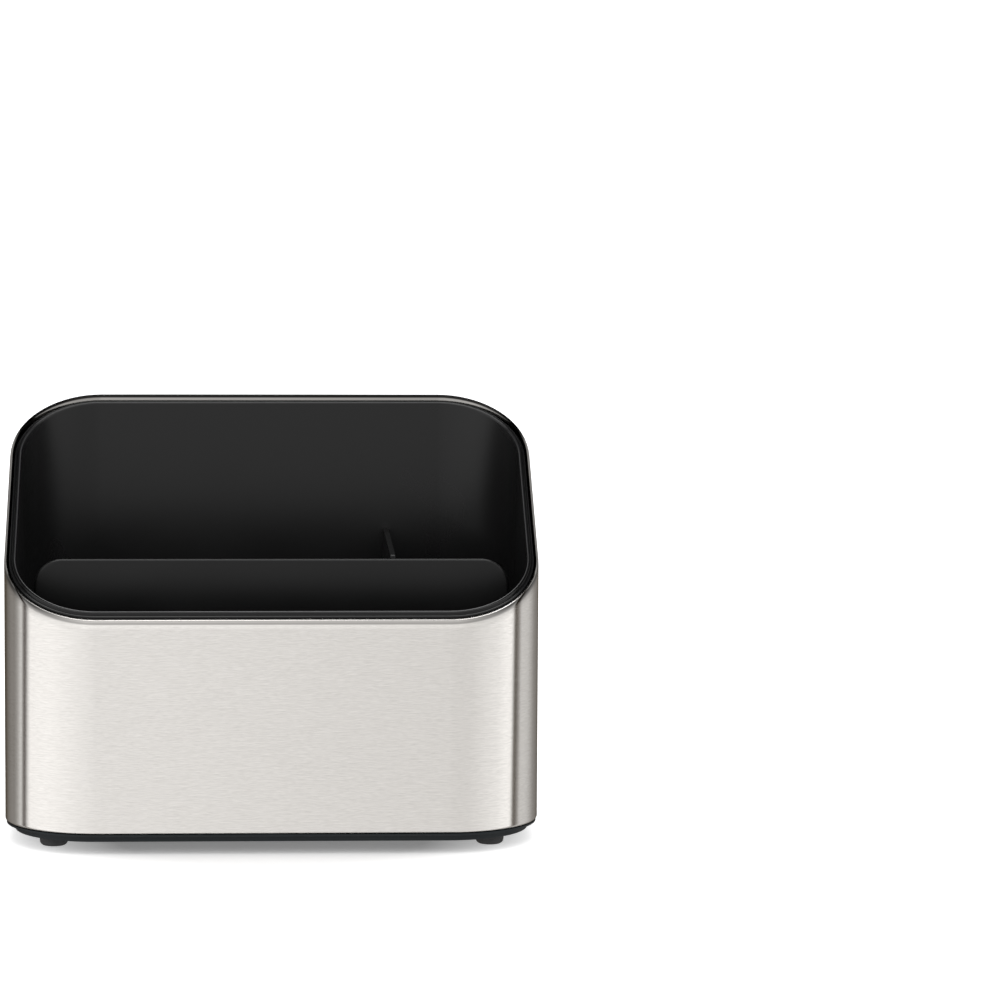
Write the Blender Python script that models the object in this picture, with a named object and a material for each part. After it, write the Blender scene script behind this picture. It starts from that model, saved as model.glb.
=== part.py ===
"""Sink caddy: a brushed steel sleeve with a sloping rim round a black lift-out tub.

The origin is on the floor, under the middle of the caddy. Seen from the front, +X is
to the right, the front faces -Y and +Z is up. Every length is in metres.
"""

import math

import bmesh
import bpy
from mathutils import Vector

# Steel sleeve: the plan is a rectangle with large corners, the rim rises to the back
SLEEVE_WIDTH = 0.1960
SLEEVE_DEPTH = 0.1250
SLEEVE_CORNER = 0.0338
RIM_FRONT = 0.0856
RIM_SLOPE = 0.555
SHEET = 0.0008
LIP_THICKNESS = 0.0011
LIP_HEIGHT = 0.0022
LIP_STEP = 0.0004
TURN_RADIUS = 0.0010
TURN_REACH = 0.0060

# Clearances
FIT_GAP = 0.0003
SLIDE_GAP = 0.0004
RIM_GAP = 0.0007
WALL_GAP = 0.0005

# Base plate: a dark edge under the steel, with a thin lip that carries the sleeve
FOOT_STAND = 0.0036
BASE_INSET = 0.0036
BASE_EDGE = 0.0024
BASE_EDGE_ROUND = 0.0005
BASE_LIP_INSET = 0.0005
BASE_LIP = 0.0008
BASE_LIP_ROUND = 0.0003
BASE_RISE = 0.0010
BASE_RECESS_INSET = 0.0260
BASE_RECESS_DEPTH = 0.0022

# Feet: round rubber pads pressed into pockets of the base plate
FOOT_RADIUS = 0.00515
FOOT_EDGE_ROUND = 0.0018
FOOT_INSET = 0.0183
FOOT_POCKET = 0.0016

# Screws: they pull the clamp tray down onto the sleeve's turned-in edge
SCREW_INSET = 0.0080
SCREW_HEAD_RADIUS = 0.0027
SCREW_HEAD_HEIGHT = 0.0015
SCREW_HEAD_ROUND = 0.0006
SCREW_RADIUS = 0.00145
SCREW_LENGTH = 0.0070
SCREW_TIP = 0.0012
SCREW_SLOT_REACH = 0.0015
SCREW_SLOT_WIDTH = 0.0007
SCREW_SLOT_DEPTH = 0.0008

# Clamp tray: a shallow dish inside the sleeve, on top of its turned-in edge
TRAY_CHAMFER = 0.0010
TRAY_FLOOR = 0.0018
TRAY_WALL = 0.0015
TRAY_WALL_RISE = 0.0125
TRAY_FILLET = 0.0020
BOSS_RADIUS = 0.0035
BOSS_RISE = 0.0045

# Tub: the black liner, with a stepped rim and side walls that draw in downwards
TUB_RIM_FALL = 0.0011
TUB_RIM_WIDTH = 0.0024
TUB_RIM_ROUND = 0.0005
TUB_LAND_DROP = 0.0003
TUB_LAND_WIDTH = 0.0009
TUB_BEAD_RISE = 0.0005
TUB_BEAD_OUTER = 0.0003
TUB_BEAD_INNER = 0.0008
TUB_WALL = 0.0020
TUB_DRAW_IN = 0.0028
TUB_FLOOR = 0.0018
TUB_FILLET = 0.0030

# Guide ribs inside the tub: they stand in pairs and hold the two upright panels
RIB_THICKNESS = 0.0016
RIB_TOP = 0.0850
RIB_ROOT_LOW = 0.0003
RIB_ROOT_HIGH = 0.0010
RIB_SINK = 0.0005
GUIDE_GRIP = 0.0038
FLOOR_RIB_PITCH = 0.0170
FLOOR_RIB_WIDTH = 0.0018
FLOOR_RIB_HEIGHT = 0.0009
FLOOR_RIB_SIDE_COUNT = 4
FLOOR_RIB_MARGIN = 0.0060
FLOOR_GUIDE_HEIGHT = 0.0040

# Sponge divider: a panel across the tub with large round top corners
DIVIDER_SETBACK = 0.0370
DIVIDER_THICKNESS = 0.0026
DIVIDER_END_GAP = 0.0041
DIVIDER_TOP = 0.1026
DIVIDER_TOP_CORNER = 0.0100
DIVIDER_FOOT_CORNER = 0.0040
DIVIDER_EDGE_ROUND = 0.0009

# Brush partition: a low wall from the divider to the back, right of centre
PARTITION_X = 0.0446
PARTITION_THICKNESS = 0.0022
PARTITION_TOP = 0.1038
PARTITION_EDGE_ROUND = 0.0006
PARTITION_GRIP = 0.0042

# Smoothness of the round shapes
CORNER_STEPS = 18
ARC_STEPS = 4
LIP_STEPS = 6
WALL_STEPS = 4
ROUND_STEPS = 32
SHARP_ANGLE = math.radians(32)
BEVEL_SEGMENTS = 2

# Heights of the stack, from the floor up
BASE_BOTTOM = FOOT_STAND
BASE_SEAT = BASE_BOTTOM + BASE_EDGE + BASE_LIP
SLEEVE_BOTTOM = BASE_SEAT + FIT_GAP
FLANGE_TOP = SLEEVE_BOTTOM + SHEET
BASE_TOP = FLANGE_TOP + BASE_RISE
BASE_CEILING = BASE_BOTTOM + BASE_RECESS_DEPTH
TRAY_BOTTOM = FLANGE_TOP + FIT_GAP
TRAY_CENTRE = BASE_TOP + FIT_GAP
TRAY_TOP = TRAY_CENTRE + TRAY_FLOOR
BOSS_TOP = TRAY_TOP + BOSS_RISE
TUB_BOTTOM = BOSS_TOP + FIT_GAP
TUB_INSIDE = TUB_BOTTOM + TUB_FLOOR
PANEL_BOTTOM = TUB_INSIDE + FIT_GAP

# Insets from the sleeve's outer face
BASE_STEP_INSET = TURN_REACH + WALL_GAP
TRAY_INSET = SHEET + WALL_GAP
TUB_RIM_INSET = LIP_THICKNESS + RIM_GAP
TUB_MOUTH_INSET = TUB_RIM_INSET + TUB_RIM_WIDTH
TUB_FOOT_INSET = TUB_RIM_INSET + TUB_DRAW_IN
TUB_INNER_FOOT_INSET = TUB_FOOT_INSET + TUB_WALL

# Places of the upright panels; the divider stops short of the tub's side walls
DIVIDER_WIDTH = SLEEVE_WIDTH - 2 * (TUB_INNER_FOOT_INSET + DIVIDER_END_GAP)
DIVIDER_FRONT = DIVIDER_SETBACK - SLEEVE_DEPTH / 2
DIVIDER_BACK = DIVIDER_FRONT + DIVIDER_THICKNESS

# Directions of a quarter turn, in degrees: 180 is outwards, 90 is up
OUTWARDS = 180
UP = 90
INWARDS = 0
DOWN = 270
QUARTER = 90
FULL_TURN = 360


def clear_scene():
    for obj in list(bpy.data.objects):
        bpy.data.objects.remove(obj, do_unlink=True)


def surface(name, color, roughness, metallic):
    material = bpy.data.materials.new(name)
    material.use_nodes = True
    shader = material.node_tree.nodes["Principled BSDF"]
    shader.inputs["Base Color"].default_value = (*color, 1)
    shader.inputs["Roughness"].default_value = roughness
    shader.inputs["Metallic"].default_value = metallic
    return material


# Plan outlines and sections


def rim_height(y):
    """Height of the steel rim's plane at depth y."""
    return RIM_FRONT + RIM_SLOPE * (y + SLEEVE_DEPTH / 2)


def tub_rim_height(y):
    """Height of the tub rim's plane, which drops slightly towards the back."""
    return rim_height(y) - TUB_RIM_FALL * (y + SLEEVE_DEPTH / 2) / SLEEVE_DEPTH


def plan_points(inset):
    """(x, y) round the sleeve's plan, moved inwards by inset, anticlockwise."""
    radius = SLEEVE_CORNER - inset
    centre_x = SLEEVE_WIDTH / 2 - SLEEVE_CORNER
    centre_y = SLEEVE_DEPTH / 2 - SLEEVE_CORNER
    points = []
    for quarter, (side_x, side_y) in enumerate(((1, 1), (-1, 1), (-1, -1), (1, -1))):
        for step in range(CORNER_STEPS + 1):
            turn = math.radians(QUARTER * (quarter + step / CORNER_STEPS))
            x = side_x * centre_x + radius * math.cos(turn)
            y = side_y * centre_y + radius * math.sin(turn)
            points.append((x, y))
    return points


def level_ring(inset, height):
    return [Vector((x, y, height)) for x, y in plan_points(inset)]


def sleeve_rim_ring(inset, height):
    """A ring whose height follows the sloping rim of the sleeve's outer face."""
    pairs = zip(plan_points(inset), plan_points(0))
    return [Vector((x, y, rim_height(outer_y) + height)) for (x, y), (_, outer_y) in pairs]


def tub_rim_ring(inset, height):
    return [Vector((x, y, tub_rim_height(y) + height)) for x, y in plan_points(inset)]


def between(lower, upper, steps):
    """The rings that divide the way from lower to upper, ends left out."""
    rings = []
    for step in range(1, steps):
        share = step / steps
        rings.append([a.lerp(b, share) for a, b in zip(lower, upper)])
    return rings


def arc(centre, reach, start, end, steps=ARC_STEPS):
    """(inset, height) along a quarter of an ellipse, from angle start to end."""
    points = []
    for step in range(steps + 1):
        turn = math.radians(start + (end - start) * step / steps)
        inset = centre[0] + reach[0] * math.cos(turn)
        height = centre[1] + reach[1] * math.sin(turn)
        points.append((inset, height))
    return points


# Mesh building


def loft(mesh, rings, closed=False):
    """Skin over rings of equal length: a closed loop of them, or a capped row."""
    rows = [[mesh.verts.new(point) for point in ring] for ring in rings]
    pairs = list(zip(rows, rows[1:]))
    if closed:
        pairs.append((rows[-1], rows[0]))
    count = len(rows[0])
    for lower, upper in pairs:
        for here in range(count):
            after = (here + 1) % count
            mesh.faces.new((lower[here], lower[after], upper[after], upper[here]))
    if not closed:
        mesh.faces.new(rows[0])
        mesh.faces.new(rows[-1])


def lathe(mesh, section, centre_x=0, centre_y=0):
    """A solid of revolution about a vertical line, from (radius, height) points."""
    rings = []
    for radius, height in section:
        ring = []
        for step in range(ROUND_STEPS):
            turn = math.radians(FULL_TURN * step / ROUND_STEPS)
            x = centre_x + radius * math.cos(turn)
            y = centre_y + radius * math.sin(turn)
            ring.append(Vector((x, y, height)))
        rings.append(ring)
    loft(mesh, rings)


def prism(mesh, outline, direction):
    """A straight-sided solid: the outline's points, swept along direction."""
    start = [Vector(point) for point in outline]
    loft(mesh, [start, [point + direction for point in start]])


def block(mesh, low, high):
    corners = (
        (low[0], low[1], low[2]),
        (high[0], low[1], low[2]),
        (high[0], high[1], low[2]),
        (low[0], high[1], low[2]),
    )
    prism(mesh, corners, Vector((0, 0, high[2] - low[2])))


def make_object(name, mesh, material, origin=(0, 0, 0)):
    """Turn a bmesh in world places into an object whose origin is at origin."""
    bmesh.ops.recalc_face_normals(mesh, faces=mesh.faces)
    bmesh.ops.translate(mesh, verts=mesh.verts, vec=-Vector(origin))
    data = bpy.data.meshes.new(name)
    mesh.to_mesh(data)
    mesh.free()
    data.materials.append(material)
    data.shade_smooth()
    data.set_sharp_from_angle(angle=SHARP_ANGLE)
    obj = bpy.data.objects.new(name, data)
    bpy.context.scene.collection.objects.link(obj)
    obj.location = origin
    return obj


def make_helper(name, mesh, material):
    """A shape that only joins or cuts another piece."""
    helper = make_object(name, mesh, material)
    helper.hide_render = True
    helper.display_type = "WIRE"
    return helper


def combine(obj, helper, operation):
    modifier = obj.modifiers.new(helper.name, "BOOLEAN")
    modifier.operation = operation
    modifier.solver = "EXACT"
    modifier.object = helper


def corner_places(inset):
    """The four places at one inset from the sides, named for where they are."""
    x = SLEEVE_WIDTH / 2 - inset
    y = SLEEVE_DEPTH / 2 - inset
    return {
        "front_left": (-x, -y),
        "front_right": (x, -y),
        "rear_left": (-x, y),
        "rear_right": (x, y),
    }


# Outer sleeve


def sleeve_rings():
    """Once round the wall: turned-in edge, outer face, folded lip, inner face."""
    bend = SLEEVE_BOTTOM + TURN_RADIUS
    inner_turn = TURN_RADIUS - SHEET
    centre = (TURN_RADIUS, bend)
    outside = [(TURN_REACH, SLEEVE_BOTTOM)]
    outside += arc(centre, (TURN_RADIUS, TURN_RADIUS), DOWN, OUTWARDS)
    inside = arc(centre, (inner_turn, inner_turn), OUTWARDS, DOWN)
    inside.append((TURN_REACH, FLANGE_TOP))
    half_lip = LIP_THICKNESS / 2
    crown = (half_lip, -LIP_HEIGHT)
    lip = arc(crown, (half_lip, LIP_HEIGHT), OUTWARDS, UP, LIP_STEPS)
    lip += arc(crown, (half_lip, LIP_HEIGHT), UP, INWARDS, LIP_STEPS)[1:]
    lip.append((SHEET, -LIP_HEIGHT - LIP_STEP))
    rings = [level_ring(*point) for point in outside]
    rings += [sleeve_rim_ring(*point) for point in lip]
    rings += [level_ring(*point) for point in inside]
    return rings


def build_sleeve():
    steel = surface("brushed_steel", (0.62, 0.61, 0.59), 0.28, 1)
    mesh = bmesh.new()
    loft(mesh, sleeve_rings(), closed=True)
    return make_object("outer_sleeve", mesh, steel)


# Base plate, feet and screws


def base_rings():
    edge = (BASE_INSET + BASE_EDGE_ROUND, BASE_BOTTOM + BASE_EDGE_ROUND)
    round_reach = (BASE_EDGE_ROUND, BASE_EDGE_ROUND)
    section = [(BASE_RECESS_INSET, BASE_CEILING), (BASE_RECESS_INSET, BASE_BOTTOM)]
    section += arc(edge, round_reach, DOWN, OUTWARDS)
    lip_edge = (BASE_LIP_INSET + BASE_LIP_ROUND, BASE_BOTTOM + BASE_EDGE + BASE_LIP_ROUND)
    section.append((BASE_INSET, BASE_BOTTOM + BASE_EDGE))
    section += arc(lip_edge, (BASE_LIP_ROUND, BASE_LIP_ROUND), DOWN, OUTWARDS)
    section.append((BASE_LIP_INSET, BASE_SEAT))
    section.append((BASE_STEP_INSET, BASE_SEAT))
    section.append((BASE_STEP_INSET, BASE_TOP))
    return [level_ring(*point) for point in section]


def build_base_plate():
    slate = surface("slate_plastic", (0.028, 0.036, 0.041), 0.42, 0)
    mesh = bmesh.new()
    loft(mesh, base_rings())
    base = make_object("base_plate", mesh, slate)
    holes = bmesh.new()
    pocket_radius = FOOT_RADIUS + FIT_GAP
    for x, y in corner_places(FOOT_INSET).values():
        section = ((pocket_radius, 0), (pocket_radius, BASE_BOTTOM + FOOT_POCKET))
        lathe(holes, section, x, y)
    hole_radius = SCREW_RADIUS + FIT_GAP
    for x, y in corner_places(BASE_RECESS_INSET + SCREW_INSET).values():
        section = ((hole_radius, 0), (hole_radius, BASE_TOP + BASE_EDGE))
        lathe(holes, section, x, y)
    combine(base, make_helper("base_holes", holes, slate), "DIFFERENCE")
    return base


def build_feet():
    rubber = surface("foot_rubber", (0.032, 0.032, 0.034), 0.7, 0)
    top = BASE_BOTTOM + FOOT_POCKET - FIT_GAP
    flat = FOOT_RADIUS - FOOT_EDGE_ROUND
    section = arc((flat, FOOT_EDGE_ROUND), (FOOT_EDGE_ROUND, FOOT_EDGE_ROUND), -UP, INWARDS)
    section.append((FOOT_RADIUS, top))
    for where, (x, y) in corner_places(FOOT_INSET).items():
        mesh = bmesh.new()
        lathe(mesh, section, x, y)
        make_object("foot_" + where, mesh, rubber, (x, y, 0))


def screw_section():
    """Shank tip at the top, round-edged head at the bottom."""
    under_head = BASE_CEILING - FIT_GAP
    head_bottom = under_head - SCREW_HEAD_HEIGHT
    tip = under_head + SCREW_LENGTH
    centre = (SCREW_HEAD_RADIUS - SCREW_HEAD_ROUND, head_bottom + SCREW_HEAD_ROUND)
    section = arc(centre, (SCREW_HEAD_ROUND, SCREW_HEAD_ROUND), -UP, INWARDS)
    section.append((SCREW_HEAD_RADIUS, under_head))
    section.append((SCREW_RADIUS, under_head))
    section.append((SCREW_RADIUS, tip - SCREW_TIP))
    section.append((SCREW_RADIUS / 2, tip))
    return section, head_bottom


def cross_outline(x, y, height):
    """A plus sign lying flat, centred on (x, y)."""
    reach = SCREW_SLOT_REACH
    half = SCREW_SLOT_WIDTH / 2
    quarter = ((reach, -half), (reach, half), (half, half), (half, reach))
    quarter += ((-half, reach), (-half, half))
    other = [(-across, -along) for across, along in quarter]
    return [(x + across, y + along, height) for across, along in (*quarter, *other)]


def build_screws():
    zinc = surface("screw_zinc", (0.55, 0.56, 0.57), 0.35, 1)
    section, head_bottom = screw_section()
    cut = SCREW_SLOT_DEPTH * 2
    for where, (x, y) in corner_places(BASE_RECESS_INSET + SCREW_INSET).items():
        mesh = bmesh.new()
        lathe(mesh, section, x, y)
        screw = make_object("screw_" + where, mesh, zinc, (x, y, head_bottom))
        slot = bmesh.new()
        prism(slot, cross_outline(x, y, head_bottom - SCREW_SLOT_DEPTH), Vector((0, 0, cut)))
        combine(screw, make_helper("slot_" + where, slot, zinc), "DIFFERENCE")


# Clamp tray


def tray_rings():
    section = [(BASE_STEP_INSET - FIT_GAP, TRAY_CENTRE)]
    section.append((BASE_STEP_INSET - FIT_GAP, TRAY_BOTTOM))
    section.append((TRAY_INSET + TRAY_CHAMFER, TRAY_BOTTOM))
    section.append((TRAY_INSET, TRAY_BOTTOM + TRAY_CHAMFER))
    wall_top = TRAY_TOP + TRAY_WALL_RISE
    inner = TRAY_INSET + TRAY_WALL
    section.append((TRAY_INSET, wall_top))
    section.append((inner, wall_top))
    fillet = (TRAY_FILLET, TRAY_FILLET)
    section += arc((inner + TRAY_FILLET, TRAY_TOP + TRAY_FILLET), fillet, OUTWARDS, DOWN)
    return [level_ring(*point) for point in section]


def build_clamp_tray():
    black = surface("tray_plastic", (0.022, 0.022, 0.023), 0.5, 0)
    mesh = bmesh.new()
    loft(mesh, tray_rings())
    tray = make_object("clamp_tray", mesh, black)
    bosses = bmesh.new()
    pilots = bmesh.new()
    pilot_top = BASE_CEILING - FIT_GAP + SCREW_LENGTH + FIT_GAP
    pilot_radius = SCREW_RADIUS + FIT_GAP
    for x, y in corner_places(BASE_RECESS_INSET + SCREW_INSET).values():
        lathe(bosses, ((BOSS_RADIUS, TRAY_TOP - TRAY_FLOOR / 2), (BOSS_RADIUS, BOSS_TOP)), x, y)
        lathe(pilots, ((pilot_radius, 0), (pilot_radius, pilot_top)), x, y)
    combine(tray, make_helper("tray_bosses", bosses, black), "UNION")
    combine(tray, make_helper("tray_pilots", pilots, black), "DIFFERENCE")
    return tray


# Inner tub


def tub_rim_section():
    """Over the rim from its outer edge: low land, round bead, round mouth edge."""
    land = -TUB_LAND_DROP
    bead = TUB_BEAD_RISE + TUB_LAND_DROP
    edge = (TUB_RIM_INSET + TUB_RIM_ROUND, land - TUB_RIM_ROUND)
    section = arc(edge, (TUB_RIM_ROUND, TUB_RIM_ROUND), OUTWARDS, UP)
    step = TUB_RIM_INSET + TUB_LAND_WIDTH
    section += arc((step + TUB_BEAD_OUTER, land), (TUB_BEAD_OUTER, bead), OUTWARDS, UP)
    mouth = (TUB_MOUTH_INSET - TUB_BEAD_INNER, TUB_BEAD_RISE - TUB_BEAD_INNER)
    section += arc(mouth, (TUB_BEAD_INNER, TUB_BEAD_INNER), UP, INWARDS)
    return section


def tub_rings():
    outer_fillet = TUB_FILLET + TUB_FLOOR
    outside = arc(
        (TUB_FOOT_INSET + outer_fillet, TUB_BOTTOM + outer_fillet),
        (outer_fillet, outer_fillet),
        DOWN,
        OUTWARDS,
    )
    inside = arc(
        (TUB_INNER_FOOT_INSET + TUB_FILLET, TUB_INSIDE + TUB_FILLET),
        (TUB_FILLET, TUB_FILLET),
        OUTWARDS,
        DOWN,
    )
    outer = [level_ring(*point) for point in outside]
    rim = [tub_rim_ring(*point) for point in tub_rim_section()]
    inner = [level_ring(*point) for point in inside]
    outer_wall = between(outer[-1], rim[0], WALL_STEPS)
    inner_wall = between(rim[-1], inner[0], WALL_STEPS)
    return outer + outer_wall + rim + inner_wall + inner


def tub_wall_inset(y, height):
    """Inset of the tub's inner wall at a height, where its rim is at depth y."""
    low = TUB_INSIDE + TUB_FILLET
    high = tub_rim_height(y) + TUB_BEAD_RISE - TUB_BEAD_INNER
    share = (height - low) / (high - low)
    return TUB_INNER_FOOT_INSET + (TUB_MOUTH_INSET - TUB_INNER_FOOT_INSET) * share


def side_rib(mesh, side, y_low, y_high):
    """An upright rib from a side wall, its root slanted with the drawn-in wall."""
    low = TUB_INSIDE - RIB_SINK
    half = SLEEVE_WIDTH / 2
    inner = side * (DIVIDER_WIDTH / 2 - GUIDE_GRIP)
    root_low = side * (half - TUB_INNER_FOOT_INSET + RIB_ROOT_LOW)
    root_high = side * (half - tub_wall_inset(y_low, RIB_TOP) + RIB_ROOT_HIGH)
    outline = (
        (inner, y_low, low),
        (root_low, y_low, low),
        (root_high, y_low, RIB_TOP),
        (inner, y_low, RIB_TOP),
    )
    prism(mesh, outline, Vector((0, y_high - y_low, 0)))


def back_rib(mesh, x_low, x_high):
    """An upright rib from the back wall, beside the brush partition."""
    low = TUB_INSIDE - RIB_SINK
    half = SLEEVE_DEPTH / 2
    foot = half - TUB_INNER_FOOT_INSET
    inner = foot - FIT_GAP - PARTITION_GRIP
    root_high = half - tub_wall_inset(half, RIB_TOP) + RIB_ROOT_HIGH
    outline = (
        (x_low, inner, low),
        (x_low, foot + RIB_ROOT_LOW, low),
        (x_low, root_high, RIB_TOP),
        (x_low, inner, RIB_TOP),
    )
    prism(mesh, outline, Vector((x_high - x_low, 0, 0)))


def floor_guide(mesh, x_low, x_high):
    """A low rib along the floor, beside the brush partition's foot."""
    low = (x_low, DIVIDER_BACK + FLOOR_RIB_MARGIN, TUB_INSIDE - RIB_SINK)
    back = SLEEVE_DEPTH / 2 - TUB_INNER_FOOT_INSET - FLOOR_RIB_MARGIN
    block(mesh, low, (x_high, back, TUB_INSIDE + FLOOR_GUIDE_HEIGHT))


def floor_ribs(mesh):
    """Low ribs on the tub's floor, in the front bay and in the rear bays."""
    low = TUB_INSIDE - RIB_SINK
    high = TUB_INSIDE + FLOOR_RIB_HEIGHT
    reach = SLEEVE_DEPTH / 2 - TUB_INNER_FOOT_INSET - FLOOR_RIB_MARGIN
    front = (-reach, DIVIDER_FRONT - FLOOR_RIB_MARGIN)
    rear = (DIVIDER_BACK + FLOOR_RIB_MARGIN, reach)
    for place in range(-FLOOR_RIB_SIDE_COUNT, FLOOR_RIB_SIDE_COUNT + 1):
        left = place * FLOOR_RIB_PITCH - FLOOR_RIB_WIDTH / 2
        right = left + FLOOR_RIB_WIDTH
        for start, end in (front, rear):
            block(mesh, (left, start, low), (right, end, high))


def build_tub():
    black = surface("tub_plastic", (0.020, 0.020, 0.021), 0.36, 0)
    mesh = bmesh.new()
    loft(mesh, tub_rings())
    tub = make_object("inner_tub", mesh, black, (0, 0, TUB_BOTTOM))
    ribs = bmesh.new()
    for side in (-1, 1):
        front_face = DIVIDER_FRONT - SLIDE_GAP
        back_face = DIVIDER_BACK + SLIDE_GAP
        side_rib(ribs, side, front_face - RIB_THICKNESS, front_face)
        side_rib(ribs, side, back_face, back_face + RIB_THICKNESS)
    half = PARTITION_THICKNESS / 2 + SLIDE_GAP
    for left in (PARTITION_X - half - RIB_THICKNESS, PARTITION_X + half):
        back_rib(ribs, left, left + RIB_THICKNESS)
        floor_guide(ribs, left, left + RIB_THICKNESS)
    floor_ribs(ribs)
    combine(tub, make_helper("tub_ribs", ribs, black), "UNION")
    return tub


# Upright panels


def panel_ring(inset, y):
    """The divider's outline, moved inwards by inset, in the plane at depth y."""
    half = DIVIDER_WIDTH / 2 - inset
    corners = (
        (1, DIVIDER_TOP, -1, DIVIDER_TOP_CORNER),
        (-1, DIVIDER_TOP, -1, DIVIDER_TOP_CORNER),
        (-1, PANEL_BOTTOM, 1, DIVIDER_FOOT_CORNER),
        (1, PANEL_BOTTOM, 1, DIVIDER_FOOT_CORNER),
    )
    points = []
    for quarter, (side, edge, inwards, corner) in enumerate(corners):
        radius = corner - inset
        centre_x = side * (half - radius)
        centre_z = edge + inwards * corner
        for step in range(CORNER_STEPS // 2 + 1):
            turn = math.radians(QUARTER * (quarter + 2 * step / CORNER_STEPS))
            x = centre_x + radius * math.cos(turn)
            points.append(Vector((x, y, centre_z + radius * math.sin(turn))))
    return points


def build_divider(tub):
    black = surface("divider_plastic", (0.024, 0.024, 0.025), 0.4, 0)
    round_off = (DIVIDER_EDGE_ROUND, DIVIDER_EDGE_ROUND)
    front = arc((DIVIDER_EDGE_ROUND, DIVIDER_EDGE_ROUND), round_off, DOWN, OUTWARDS)
    back = arc(
        (DIVIDER_EDGE_ROUND, DIVIDER_THICKNESS - DIVIDER_EDGE_ROUND), round_off, OUTWARDS, UP
    )
    mesh = bmesh.new()
    loft(mesh, [panel_ring(inset, DIVIDER_FRONT + deep) for inset, deep in front + back])
    middle = (DIVIDER_FRONT + DIVIDER_BACK) / 2
    divider = make_object("sponge_divider", mesh, black, (0, middle, PANEL_BOTTOM))
    divider.parent = tub
    divider.location -= tub.location


def build_partition(tub):
    black = surface("partition_plastic", (0.026, 0.026, 0.027), 0.42, 0)
    half = SLEEVE_DEPTH / 2
    left = PARTITION_X - PARTITION_THICKNESS / 2
    front = DIVIDER_BACK + SLIDE_GAP
    foot = half - TUB_INNER_FOOT_INSET - FIT_GAP
    head = half - tub_wall_inset(half, PARTITION_TOP) - FIT_GAP
    shelf = PANEL_BOTTOM + TUB_FILLET
    outline = (
        (left, front, PANEL_BOTTOM),
        (left, foot - TUB_FILLET, PANEL_BOTTOM),
        (left, foot, shelf),
        (left, head, PARTITION_TOP),
        (left, front, PARTITION_TOP),
    )
    mesh = bmesh.new()
    prism(mesh, outline, Vector((PARTITION_THICKNESS, 0, 0)))
    origin = (PARTITION_X, (front + foot) / 2, PANEL_BOTTOM)
    partition = make_object("brush_partition", mesh, black, origin)
    bevel = partition.modifiers.new("edges", "BEVEL")
    bevel.width = PARTITION_EDGE_ROUND
    bevel.segments = BEVEL_SEGMENTS
    bevel.limit_method = "ANGLE"
    partition.parent = tub
    partition.location -= tub.location


def main():
    clear_scene()
    build_sleeve()
    build_base_plate()
    build_feet()
    build_screws()
    build_clamp_tray()
    tub = build_tub()
    bpy.context.view_layer.update()
    build_divider(tub)
    build_partition(tub)


main()
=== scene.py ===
# %% [markdown]
# # A brushed steel sink caddy with a black lift-out tub
# The caddy's solids come from a packed CAD model, which stays as it is. This lesson
# gives them the finishes of the real thing, with some light and shade painted in, and
# sets up a camera and a small studio.

# %% Load the packed model
import math

import bpy
from mathutils import Matrix, Vector


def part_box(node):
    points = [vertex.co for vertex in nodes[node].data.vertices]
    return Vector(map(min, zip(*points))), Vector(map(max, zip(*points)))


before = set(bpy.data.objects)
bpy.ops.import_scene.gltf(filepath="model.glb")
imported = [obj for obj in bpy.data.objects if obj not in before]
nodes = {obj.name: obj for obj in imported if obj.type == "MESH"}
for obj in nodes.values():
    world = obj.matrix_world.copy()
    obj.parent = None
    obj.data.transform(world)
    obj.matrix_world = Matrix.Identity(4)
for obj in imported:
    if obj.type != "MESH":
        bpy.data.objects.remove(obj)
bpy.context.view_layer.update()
print("pieces:", ", ".join(sorted(nodes)))

# %% [markdown]
# ## The camera
# The photograph was taken with a long lens from a little above the caddy: the steel's
# upright edges stay parallel, and it is the rim's slope that lets us see inside. A
# camera can be aimed by eye or with a Track To constraint. Here its yaw, pitch and roll
# were worked out from the caddy's outlines, so its axes are written into a matrix.

# %% Aim a long lens at the caddy
CAMERA_PLACE = Vector((-0.018689, -1.850094, 0.341363))
CAMERA_YAW = math.radians(3.216)
CAMERA_PITCH = math.radians(6.766)
CAMERA_ROLL = math.radians(0.355)
LENS_MM = 180
SENSOR_MM = 36
CLIP_NEAR = 0.05
CLIP_FAR = 20


def camera_axes(yaw, pitch, roll):
    """Right, up and backwards, as a camera at these angles has them."""
    ahead = Vector((
        math.sin(yaw) * math.cos(pitch),
        math.cos(yaw) * math.cos(pitch),
        -math.sin(pitch),
    ))
    level = Vector((math.cos(yaw), -math.sin(yaw), 0))
    over = level.cross(ahead)
    right = level * math.cos(roll) + over * math.sin(roll)
    up = over * math.cos(roll) - level * math.sin(roll)
    return right, up, -ahead


camera_data = bpy.data.cameras.new("studio_camera")
camera_data.lens = LENS_MM
camera_data.sensor_width = SENSOR_MM
camera_data.clip_start = CLIP_NEAR
camera_data.clip_end = CLIP_FAR
camera = bpy.data.objects.new("studio_camera", camera_data)
bpy.context.scene.collection.objects.link(camera)
turn = Matrix(camera_axes(CAMERA_YAW, CAMERA_PITCH, CAMERA_ROLL)).transposed()
camera.matrix_world = Matrix.Translation(CAMERA_PLACE) @ turn.to_4x4()
bpy.context.scene.camera = camera
print("camera distance in metres:", round(CAMERA_PLACE.length, 3))

# %% [markdown]
# ## Smooth shading on the round surfaces
# The solids arrive as loose flat facets, so a round corner would reflect the room in
# steps. The facets could be subdivided, but their shape is already right: only the
# shading is wrong. Each piece gets two modifiers. The first joins the facets' corners
# and marks the real edges as sharp. The second turns every corner normal towards the
# largest faces round it, so flat walls stay flat right up to their rounded edges.

# %% Join the facets and shade by angle
FACET_JOIN = 0.000002
SHARP_ANGLE = math.radians(32)


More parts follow.
